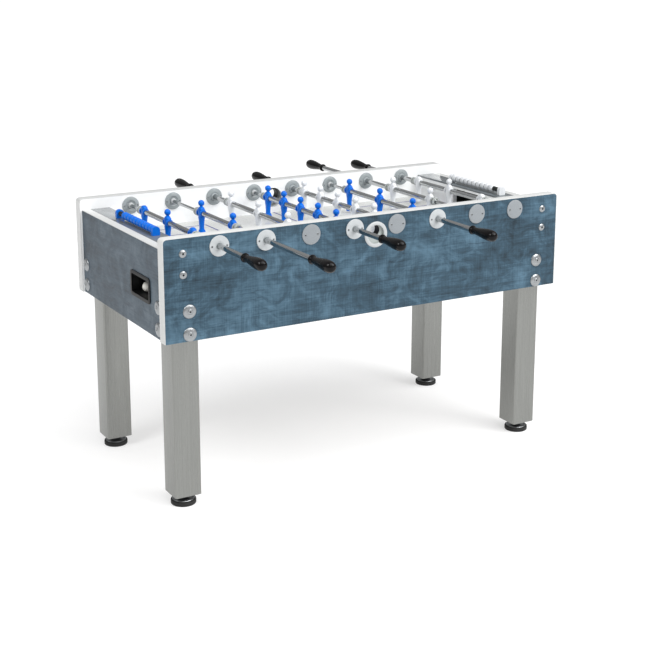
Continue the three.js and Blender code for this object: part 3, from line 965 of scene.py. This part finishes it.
@dataclass
class Cabinet:
    """The box: side walls, end panels, field, goal walls, end plates and bottom board."""

    corner: float = mm(12)
    band: float = mm(2.2)
    skin: float = mm(0.7)
    edge: float = mm(1.6)
    lining: float = mm(0.6)
    lining_inset: float = mm(2)
    lining_proud: float = mm(0.1)
    sleeve_hole: float = mm(16.2)
    shaft_hole: float = mm(6.8)
    entry_hole: float = mm(36.2)
    panel_screw_x: float = mm(685)
    panel_screw_depths: Tuple[float, float] = (mm(50), mm(116))
    tray_offset: float = mm(177)
    window_half: float = mm(71.9)
    window_rise: Tuple[float, float] = (mm(8.3), mm(75.2))
    mouth_half: float = mm(100)
    mouth_top: float = mm(838)
    goal_box_bottom: float = mm(742)
    goal_box_half: float = mm(118)
    goal_cheek: Tuple[float, float] = (mm(112), mm(114))
    rods: Sequence[PlayerRod] = ()

    def build(self) -> None:
        """Builds the cabinet's pieces."""
        for side, name in ((Side.NEAR, "near"), (Side.FAR, "far")):
            self.build_wall(side, name)
            self.build_panel_screws(side, name)
        for hand, name in ((-1, "left"), (1, "right")):
            self.build_end_panel(hand, name)
            self.build_goal_wall(hand, name)
            self.build_top_plate(name)
        self.build_field()
        self.build_boards()

    def wall_outline(self, low: Vector, high: Vector, inset: float) -> list:
        """Returns a wall's outline, with its rounded top corners, drawn in x and z.

        Args:
            low: the wall's lowest corner.
            high: its highest corner.
            inset: how far the outline lies inside the wall.

        Returns:
            The outline's points.
        """
        radius = self.corner - inset / 2
        return rounded_outline(low.x + inset, low.z, high.x - inset, high.z - inset, (0, 0, radius, radius))

    def build_wall(self, side: Side, name: str) -> None:
        """Builds one long wall: the white board and the decor sheet on its outer face.

        Args:
            side: the side that the wall is on.
            name: near or far.
        """
        node = f"{name}_side_wall"
        low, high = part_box(node)
        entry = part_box(f"{name}_ball_entry")
        holes = [circle_outline(0, (entry[0].z + entry[1].z) / 2, self.entry_hole)]
        for rod in self.rods:
            radius = self.sleeve_hole if rod.side is side else self.shaft_hole
            holes.append(circle_outline(-side.value * rod.axis.x, rod.axis.z, radius, 24))
        inner, outer = (high.y, low.y) if side is Side.NEAR else (low.y, high.y)
        board = Shape().slab(self.wall_outline(low, high, 0), high.y - low.y - self.skin, holes, self.edge)
        board.moved(standing(along(side.value), (0, inner, 0)))
        board.piece(f"{name}_wall_board", EDGE_BAND, replaces=[node], crease=25)
        lining = Shape().slab(self.wall_outline(low, high, self.lining_inset), self.lining, holes)
        lining.moved(standing(along(side.value), (0, inner - side.value * self.lining_proud, 0)))
        lining.piece(f"{name}_wall_lining", WHITE_BOARD)
        sheet = Shape().slab(self.wall_outline(low, high, self.band), self.skin, [holes[0]])
        sheet.moved(standing(along(side.value), (0, outer - side.value * self.skin, 0)))
        sheet.piece(f"{name}_wall_decor", LAMINATE)

    def build_panel_screws(self, side: Side, name: str) -> None:
        """Builds the two round screws near each end of a long wall.

        Args:
            side: the side that the wall is on.
            name: near or far.
        """
        low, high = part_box(f"{name}_side_wall")
        outer = low.y if side is Side.NEAR else high.y
        heads, pits = Shape(), Shape()
        for x in (-self.panel_screw_x, self.panel_screw_x):
            for depth in self.panel_screw_depths:
                PANEL_SCREW.add_to(heads, pits, standing(along(side.value), (x, outer, high.z - depth)))
        heads.piece(f"{name}_panel_screws", ZINC)
        # The recess floors are painted near black as the shade inside each recess.
        pits.piece(f"{name}_panel_screw_pits", PIT_PAINTED_SHADE)

    def build_end_panel(self, hand: int, name: str) -> None:
        """Builds an end panel: the white board and the decor sheet, both with the tray window.

        Args:
            hand: -1 at the left and 1 at the right.
            name: left or right.
        """
        node = f"{name}_end_panel"
        low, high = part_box(node)
        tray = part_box(f"{name}_ball_tray")
        middle, half = self.tray_offset, self.window_half
        bottom, top = (tray[0].z + rise for rise in self.window_rise)
        window = rounded_outline(middle - half, bottom, middle + half, top)
        inner = high.x if hand < 0 else low.x
        outer = low.x if hand < 0 else high.x
        outline = rounded_outline(low.y, low.z, high.y, high.z)
        board = Shape().slab(outline, high.x - low.x - self.skin, [window], self.edge)
        board.moved(standing(along(hand, "x"), (inner, 0, 0)))
        board.piece(f"{name}_end_board", EDGE_BAND, replaces=[node], crease=25)
        face = rounded_outline(low.y, low.z, high.y, high.z - self.band)
        sheet = Shape().slab(face, self.skin, [window])
        sheet.moved(standing(along(hand, "x"), (outer - hand * self.skin, 0, 0)))
        # The end sheet's greyer decor is painted shade and reflection; the laminate is the same as on the
        # long walls.
        sheet.piece(f"{name}_end_decor", END_LAMINATE_PAINTED_SHADE_AND_SHEEN)

    def build_goal_wall(self, hand: int, name: str) -> None:
        """Dresses a goal wall and lines the space behind its mouth.

        Args:
            hand: -1 at the left and 1 at the right.
            name: left or right.
        """
        node = f"{name}_goal_wall"
        low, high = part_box(node)
        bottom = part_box("playfield")[1].z
        half = self.mouth_half
        mouth = rounded_outline(-half, bottom, half, self.mouth_top, (0, 0, mm(6), mm(6)), 5)
        outline = rounded_outline(low.y, low.z, high.y, high.z)
        board = Shape().slab(outline, high.x - low.x, [mouth])
        start = low.x if hand > 0 else high.x
        board.moved(standing(along(hand, "x"), (start, 0, 0)))
        board.piece(f"{name}_goal_board", WHITE_BOARD, replaces=[node], crease=25)
        self.build_goal_lining(hand, name, low, high)

    def build_goal_lining(self, hand: int, name: str, low: Vector, high: Vector) -> None:
        """Builds the black back and the two cheeks of the space behind a goal mouth.

        Args:
            hand: -1 at the left and 1 at the right.
            name: left or right.
            low: the goal wall's lowest corner.
            high: its highest corner.
        """
        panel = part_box(f"{name}_end_panel")
        back = panel[0].x if hand > 0 else panel[1].x
        bottom, top, edge = self.goal_box_bottom, high.z - mm(1), mm(0.4)
        x0, x1 = sorted((back - hand * mm(0.4), back - hand * mm(2.4)))
        lining = Shape().block((x0, -self.goal_box_half, bottom), (x1, self.goal_box_half, top), edge, 1)
        inner = low.x if hand < 0 else high.x
        x0, x1 = sorted((inner + hand * mm(0.5), back - hand * mm(2.6)))
        for side in (-1, 1):
            y0, y1 = sorted(side * cheek for cheek in self.goal_cheek)
            lining.block((x0, y0, bottom), (x1, y1, top), edge, 1)
        lining.piece(f"{name}_goal_lining", BLACK_LINING)

    def build_top_plate(self, name: str) -> None:
        """Builds a glossy end plate with softly rounded edges.

        Args:
            name: left or right.
        """
        node = f"{name}_top_plate"
        low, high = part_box(node)
        Shape().block(low, high, mm(0.9), 3).piece(f"{name}_gloss_plate", GREY_PLATE, replaces=[node])

    def build_field(self) -> None:
        """Builds the field's board and its printed lines."""
        low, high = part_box("playfield")
        Shape().block(low, high, mm(0.6), 2).piece("field_board", FIELD, replaces=["playfield"])
        FieldMarkings(high).build()

    def build_boards(self) -> None:
        """Builds the beam with broken edges, and gives the bottom board its raw finish."""
        low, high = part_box("field_beam")
        Shape().block(low, high, mm(1), 2).piece("support_beam", WHITE_BOARD, replaces=["field_beam"])
        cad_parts["bottom_board"].data.materials.clear()
        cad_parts["bottom_board"].data.materials.append(RAW_BOARD.material())


@dataclass
class FieldMarkings:
    """The printed lines: penalty boxes, goal areas, halfway line, centre circle and spot."""

    high: Vector
    line: float = mm(7)
    raise_by: float = mm(0.12)
    circle: float = mm(98)
    spot: float = mm(9)
    penalty_box: Point = (mm(308), mm(268))
    goal_area: Point = (mm(405), mm(168))

    def centre_circle(self) -> Shape:
        """Returns the centre circle."""
        outer, inner = (circle_outline(0, 0, radius, 72) for radius in (self.circle, self.circle - self.line))
        return Shape().slab(outer, self.raise_by, [inner])

    def frame_of(self, x0: float, x1: float, half: float) -> Shape:
        """Returns a rectangle drawn as a line, from x0 to x1 and ``half`` each way across the field.

        Args:
            x0: one end.
            x1: the other end.
            half: half the width across the field.

        Returns:
            The flat rectangle.
        """
        a, b = sorted((x0, x1))
        n = self.line
        outer = rounded_outline(a, -half, b, half)
        inner = rounded_outline(a + n, -half + n, b - n, half - n)
        return Shape().slab(outer, self.raise_by, [inner])

    def build(self) -> None:
        """Builds all the lines as one thin print."""
        at = Matrix.Translation((0, 0, self.high.z - self.raise_by / 2))
        end = self.high.x - mm(3)
        touch_line = self.high.y - mm(2)
        lines = Shape()
        lines.add(self.centre_circle(), at)
        lines.add(Shape().slab(circle_outline(0, 0, self.spot, 32), self.raise_by), at)
        for hand in (-1, 1):
            start, stop = sorted((hand * self.circle, hand * touch_line))
            halfway = rounded_outline(-self.line / 2, start, self.line / 2, stop)
            lines.add(Shape().slab(halfway, self.raise_by), at)
            for goal_line, (front, half) in ((end, self.penalty_box), (end - self.line, self.goal_area)):
                lines.add(self.frame_of(hand * goal_line, hand * front, half), at)
        lines.piece("field_lines", LINES)


# ---------------------------------------------------------------- legs


@dataclass
class Leg:
    """A square steel leg with its bolts, and the levelling foot under it."""

    name: str
    hand: int
    side: int
    radius: float = mm(6)
    steel: float = mm(3)
    bolt_heights: Tuple[float, float] = (mm(657), mm(584))
    panel_bolt_heights: Tuple[float, float] = (mm(663), mm(593))
    panel_bolt_y: float = mm(315)
    stem_hole: float = mm(8.6)
    thread_pitch: float = 1.75
    thread_radii: Point = (7.1, 7.9)
    stem_heights: Point = (16.0, 79.8)

    def build(self) -> None:
        """Builds the leg, its bolts and its foot."""
        node = f"{self.name}_leg"
        low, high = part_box(node)
        outline = rounded_outline(low.x, low.y, high.x, high.y, (self.radius,) * 4, 6)
        t = self.steel
        inside = rounded_outline(low.x + t, low.y + t, high.x - t, high.y - t, (self.radius - t,) * 4, 6)
        tube = Shape().slab(outline, high.z - low.z, [inside]).moved(Matrix.Translation((0, 0, low.z)))
        tube.piece(f"{self.name}_leg_tube", LEG_STEEL, replaces=[node], crease=40)
        middle = (low + high) / 2
        plug = Shape().slab(inside, mm(5), [circle_outline(middle.x, middle.y, self.stem_hole, 24)])
        plug.moved(Matrix.Translation((0, 0, low.z + mm(0.6))))
        plug.piece(f"{self.name}_leg_plug", RUBBER)
        self.build_bolts(middle)
        self.build_foot(middle)

    def build_bolts(self, middle: Vector) -> None:
        """Builds the domed bolt heads on the wall and on the end panel, each with a dark hex plug in its
        socket as painted shade.

        Args:
            middle: the leg's middle.
        """
        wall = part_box("near_side_wall" if self.side < 0 else "far_side_wall")
        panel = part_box("left_end_panel" if self.hand < 0 else "right_end_panel")
        wall_face = wall[0].y if self.side < 0 else wall[1].y
        panel_face = panel[0].x if self.hand < 0 else panel[1].x
        places = [standing(along(self.side), (middle.x, wall_face, z)) for z in self.bolt_heights]
        panel_y = self.side * self.panel_bolt_y
        places += [standing(along(self.hand, "x"), (panel_face, panel_y, z)) for z in self.panel_bolt_heights]
        washers, heads, sockets = Shape(), Shape(), Shape()
        washer = [(8.6, 0.2), (22, 0.2), (22.4, 0.8), (21.9, 2), (20.4, 3.3), (17.6, 4.6), (14, 5.5),
                  (8.6, 6.2)]
        head = [(2.9, 1), (8.2, 1), (8.2, 6.2), (7.6, 6.8), (6, 7.2), (4, 7.5), (2.9, 7.4)]
        for place in places:
            washers.add(Shape().turned(washer, 48), place)
            heads.add(Shape().turned(head, 32), place)
            sockets.add(Shape().turned([(0, 1.2), (2.8, 1.2), (2.8, 5.4), (0, 5.4)], 6), place)
        washers.piece(f"{self.name}_bolt_washers", ZINC)
        heads.piece(f"{self.name}_bolt_heads", ZINC)
        # A dark hex plug fills the bottom of each socket: painted shade inside the socket.
        sockets.piece(f"{self.name}_bolt_sockets", PIT_PAINTED_SHADE)

    def build_foot(self, middle: Vector) -> None:
        """Builds the levelling foot: rubber pad, steel plate, nut and threaded stem.

        Args:
            middle: the leg's middle.
        """
        node = f"{self.name}_foot"
        at = Matrix.Translation((middle.x, middle.y, 0))
        pad = [(0, 0), (37, 0), (39.6, 0.8), (41, 3), (41, 13), (40.2, 15.2), (38.4, 16), (36.4, 16),
               (36.4, 14), (0, 14)]
        Shape().turned(pad, 64).moved(at).piece(f"{self.name}_foot_pad", RUBBER, node, [node])
        plate = [(8.2, 14.2), (36.2, 14.2), (36.2, 17), (35.2, 18.2), (33.6, 18.4), (30, 16.6), (20, 17.2),
                 (14, 21), (8.2, 22)]
        Shape().turned(plate, 64).moved(at).piece(f"{self.name}_foot_plate", ZINC, node)
        nut = Shape().turned([(8.1, 22.4), (13.2, 22.4), (14, 23.4), (14, 31), (13.2, 32), (8.1, 32)], 6)
        nut.moved(at).piece(f"{self.name}_foot_nut", ZINC, node, crease=20)
        pitch, (root, crest), (foot, top) = self.thread_pitch, self.thread_radii, self.stem_heights
        profile = [(0, foot), (root, foot)]
        for turn in range(int((top - foot - 1.8) / pitch)):
            z = foot + 1 + turn * pitch
            profile += [(root, z), (crest, z + pitch * 0.5)]
        profile += [(root, top - 0.6), (0, top)]
        Shape().turned(profile, 24).moved(at).piece(f"{self.name}_foot_stem", ZINC, node, crease=70)


# ---------------------------------------------------------------- ball ways and scorers


@dataclass
class BallEntry:
    """The cup in a side wall where a ball is put in."""

    name: str
    side: int
    ring_radius: float = 43.0
    mouth: float = 31.0
    floor: float = 10.0
    hole: float = 19.0
    hole_rise: float = 12.0
    tube_end: float = 37.6

    def build(self) -> None:
        """Builds the ring, the cup with its hole, and the tube through the wall."""
        node = f"{self.name}_ball_entry"
        low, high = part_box(node)
        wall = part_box(f"{self.name}_side_wall")
        outer = wall[0].y if self.side < 0 else wall[1].y
        z = (low.z + high.z) / 2
        place = standing(along(self.side), (0, outer, z))
        r, m = self.ring_radius, self.mouth
        ring = [(m, 0.3), (r - 0.4, 0.3), (r, 0.8), (r - 1, 1.7), (r - 4, 2.7), (r - 6, 3), (m + 3, 3),
                (m + 0.8, 2.4), (m, 1.2)]
        Shape().turned(ring, 64).moved(place).piece(f"{self.name}_entry_ring", RING_WHITE, replaces=[node])
        f = self.floor
        # The cup's rim and floor take a greyed colour as painted shade inside the recess.
        wall_ring = [(m - 0.2, -f), (m + 2.6, -f), (m + 2.6, 0.2), (m - 0.2, 0.2)]
        Shape().turned(wall_ring, 64).moved(place).piece(f"{self.name}_entry_rim", CUP_PAINTED_SHADE)
        floor = circle_outline(0, 0, mm(m - 0.3), 64)
        hole = circle_outline(0, mm(self.hole_rise), mm(self.hole), 40)
        cup = Shape().slab(floor, mm(2), [hole]).moved(place @ Matrix.Translation((0, 0, mm(-f))))
        cup.piece(f"{self.name}_entry_cup", CUP_PAINTED_SHADE)
        h, end = self.hole, self.tube_end
        bore = [(h, -end), (h + 1.8, -end), (h + 1.8, -f - 0.2), (h, -f - 0.2)]
        shift = Matrix.Translation((0, mm(self.hole_rise), 0))
        # The tube through the wall is given black plastic as painted shade inside the hole.
        Shape().turned(bore, 48).moved(place @ shift).piece(f"{self.name}_entry_tube", TRAY_PLASTIC_AND_HOLE_SHADE)


@dataclass
class BallTray:
    """The tray where balls come back, with its frame on the end panel."""

    name: str
    hand: int
    offset: float = mm(177)
    half: float = mm(71.7)
    height: float = mm(83.4)
    rim: float = mm(8.5)
    wall: float = mm(3)
    radius: float = mm(15)

    def build(self) -> None:
        """Builds the frame; the tray and gutter keep their own shape with a better finish."""
        node = f"{self.name}_ball_tray"
        low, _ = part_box(node)
        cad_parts[node].data.materials.clear()
        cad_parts[node].data.materials.append(TRAY_PLASTIC_AND_HOLE_SHADE.material())
        middle = self.offset * self.hand
        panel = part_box(f"{self.name}_end_panel")
        face = panel[0].x if self.hand < 0 else panel[1].x
        bottom, top = low.z, low.z + self.height
        outer = rounded_outline(-self.half - self.rim, bottom, self.half + self.rim, top, (self.radius,) * 4)
        inset = self.rim + self.wall
        inner_half = self.half - self.wall
        inner = rounded_outline(-inner_half, bottom + inset, inner_half, top - inset, (mm(5),) * 4)
        rim = Shape().slab(outer, mm(3.3), [inner], mm(1.2))
        rim.moved(standing(along(self.hand, "x"), (face + self.hand * mm(0.05), middle, 0)))
        rim.piece(f"{self.name}_tray_frame", TRAY_PLASTIC_AND_HOLE_SHADE, crease=30)


@dataclass
class Scorer:
    """An abacus scorer: two brackets, a thin rod and ten beads."""

    name: str
    hand: int
    finish: Finish
    beads: int = 10
    bead_radius: float = 13.0
    core_radius: float = 8.0
    bracket: float = mm(14)
    rod_inset: float = mm(3)

    def build(self) -> None:
        """Builds the brackets, the rod and the beads."""
        node = f"{self.name}_scorer_rail"
        low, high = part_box(node)
        x = (low.x + high.x) / 2
        half = (high.x - low.x) / 2
        beads_low, beads_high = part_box(f"{self.name}_score_beads")
        z = (beads_low.z + beads_high.z) / 2
        foot, crown = mm(1.5), half - mm(1)
        outline = rounded_outline(-half, low.z, half, high.z, (foot, foot, crown, crown), 12)
        for label, y in (("near", low.y), ("far", high.y - self.bracket)):
            block = Shape().slab(outline, self.bracket).moved(standing("+y", (x, y, 0)))
            block.piece(f"{self.name}_scorer_bracket_{label}", self.finish, crease=30)
        length, core = (high.y - low.y - 2 * self.rod_inset) * 1000, self.core_radius
        rod = Shape().turned([(0, 0), (core, 0), (core, length), (0, length)], 32)
        rod.moved(standing("+y", (x, low.y + self.rod_inset, z)))
        rod.piece(f"{self.name}_scorer_rod", BLACK_LINING, replaces=[node])
        self.build_beads(x, z, beads_low.y, beads_high.y)

    def build_beads(self, x: float, z: float, start: float, end: float) -> None:
        """Builds the ten ribbed beads side by side.

        Args:
            x: the rod's X.
            z: the rod's height.
            start: the first bead's near end.
            end: the last bead's far end.
        """
        pitch = (end - start) * 1000 / self.beads
        r, b, n = self.bead_radius, self.core_radius + 0.5, pitch - 0.5
        profile = [(b, 2), (r - 3.4, 1.8), (r - 1.9, 2.4), (r - 0.7, 4), (r, 7.2), (r, n - 7.2),
                   (r - 0.7, n - 4), (r - 1.9, n - 2.4), (r - 3.4, n - 1.8), (b, n - 2)]
        for index in range(self.beads):
            bead = Shape().turned(profile, 40).moved(standing("+y", (x, start + mm(index * pitch + 0.25), z)))
            replaced = [f"{self.name}_score_beads"] if index == 0 else []
            bead.piece(f"{self.name}_bead_{index + 1}", self.finish, f"{self.name}_score_beads", replaced)


BALL_RADIUS = mm(17.4)


def build_ball() -> None:
    """Builds the ball that waits in the left tray."""
    low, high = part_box("ball")
    middle = (low + high) / 2
    ball = Shape()
    bmesh.ops.create_icosphere(ball.bm, subdivisions=4, radius=BALL_RADIUS, matrix=Matrix.Translation(middle))
    ball.piece("game_ball", BALL_PLASTIC, "ball", ["ball"])


# ---------------------------------------------------------------- studio


@dataclass
class Studio:
    """Floor, light and camera."""

    eye: Vector = field(default_factory=lambda: Vector((-2.275, -4.025, 1.788)))
    turn: float = -29.76
    tilt: float = -13.19
    lens: float = 74.74
    rise: float = -0.12
    floor_half: float = 70.0
    floor_grey: float = 0.5
    floor_glow: float = 0.55
    surround: float = 0.42

    def build(self) -> None:
        """Builds the studio."""
        self.build_camera()
        self.build_floor()
        self.build_world()
        self.build_lights()

    def build_camera(self) -> None:
        """Sets the camera: ``turn`` is its heading from +Y and ``tilt`` its pitch, in degrees."""
        data = bpy.data.cameras.new("camera")
        data.lens = self.lens
        data.sensor_width = 36
        data.shift_y = self.rise
        data.clip_end = 200
        camera = bpy.data.objects.new("camera", data)
        camera.location = self.eye
        camera.rotation_euler = (math.radians(90 + self.tilt), 0, math.radians(self.turn))
        bpy.context.scene.collection.objects.link(camera)
        bpy.context.scene.camera = camera

    def build_floor(self) -> None:
        """Builds the white floor, which glows a little so that shadows on it stay faint."""
        shape = Shape()
        bmesh.ops.create_grid(shape.bm, x_segments=1, y_segments=1, size=self.floor_half)
        mesh = bpy.data.meshes.new("studio_floor")
        shape.bm.to_mesh(mesh)
        shape.bm.free()
        floor = bpy.data.objects.new("studio_floor", mesh)
        nodes = NodeTree("pale_floor")
        nodes.shader.inputs["Base Color"].default_value = (self.floor_grey,) * 3 + (1,)
        nodes.shader.inputs["Emission Color"].default_value = (1, 1, 1, 1)
        nodes.shader.inputs["Emission Strength"].default_value = self.floor_glow
        nodes.shader.inputs["Roughness"].default_value = 0.9
        nodes.shader.inputs["Specular IOR Level"].default_value = 0.1
        mesh.materials.append(nodes.material)
        bpy.context.scene.collection.objects.link(floor)

    def build_world(self) -> None:
        """Builds the surround: white overhead, darker at the horizon."""
        world = bpy.data.worlds.new("studio_world")
        world.use_nodes = True
        nodes = world.node_tree.nodes
        link = world.node_tree.links.new
        direction = nodes.new("ShaderNodeTexCoord")
        split = nodes.new("ShaderNodeSeparateXYZ")
        ramp = nodes.new("ShaderNodeValToRGB")
        link(direction.outputs["Generated"], split.inputs[0])
        link(split.outputs["Z"], ramp.inputs["Fac"])
        ramp.color_ramp.elements[0].position = 0.0
        ramp.color_ramp.elements[0].color = (0.52, 0.53, 0.54, 1)
        ramp.color_ramp.elements[1].position = 0.5
        ramp.color_ramp.elements[1].color = (1, 1, 1, 1)
        background = nodes["Background"]
        link(ramp.outputs["Color"], background.inputs["Color"])
        background.inputs["Strength"].default_value = self.surround
        bpy.context.scene.world = world

    def add_light(self, kind: str, name: str, at: Sequence[float], size: float, power: float) -> None:
        """Adds a soft light that looks at the table's middle; a sun's size is its angle in degrees.

        Args:
            kind: SUN or AREA.
            name: the light's name.
            at: where it stands, in metres.
            size: its side in metres, or the angle of a sun in degrees.
            power: its strength.
        """
        data = bpy.data.lights.new(name, kind)
        data.energy = power
        if kind == "SUN":
            data.angle = math.radians(size)
        else:
            data.shape = "SQUARE"
            data.size = size
        light = bpy.data.objects.new(name, data)
        light.location = at
        light.rotation_euler = (Vector((0, 0, 0.7)) - Vector(at)).to_track_quat("-Z", "Y").to_euler()
        bpy.context.scene.collection.objects.link(light)

    def build_lights(self) -> None:
        """Builds a soft overhead sun, a key light at the right and a weak fill at the left."""
        bpy.context.scene.view_settings.view_transform = "Standard"
        self.add_light("SUN", "overhead_sun", (1.2, -2.4, 5), 60, 2.4)
        self.add_light("AREA", "key_light", (2.0, -3.2, 2.8), 1.8, 74)
        self.add_light("AREA", "left_light", (-2.8, -0.6, 3.2), 1.2, 48)


# ---------------------------------------------------------------- assembly


def make_rods() -> List[PlayerRod]:
    """Plans the eight rods from the left: blue men face right and white men face left.

    Returns:
        The rods, not built yet.
    """
    near_blue, far_white = (Side.NEAR, BLUE, 1), (Side.FAR, WHITE, -1)
    plan = (
        (near_blue, Line.GOALKEEPERS), (near_blue, Line.DEFENDERS), (far_white, Line.ATTACKERS),
        (near_blue, Line.MIDFIELD), (far_white, Line.MIDFIELD), (near_blue, Line.ATTACKERS),
        (far_white, Line.DEFENDERS), (far_white, Line.GOALKEEPERS),
    )
    return [PlayerRod(number, side, team, line, facing)
            for number, ((side, team, facing), line) in enumerate(plan, 1)]


def main() -> None:
    """Builds the table from the cabinet outwards, then the studio."""
    logging.basicConfig(level=logging.INFO, format="%(message)s")
    rods = make_rods()
    Studio().build()
    Cabinet(rods=rods).build()
    for rod in rods:
        rod.build()
    for hand, end in ((-1, "left"), (1, "right")):
        for side, near_far in ((-1, "near"), (1, "far")):
            Leg(f"{near_far}_{end}", hand, side).build()
        BallTray(end, hand).build()
        Scorer(end, hand, BLUE if hand < 0 else WHITE).build()
    BallEntry("near", -1).build()
    BallEntry("far", 1).build()
    build_ball()


if __name__ == "__main__":
    main()
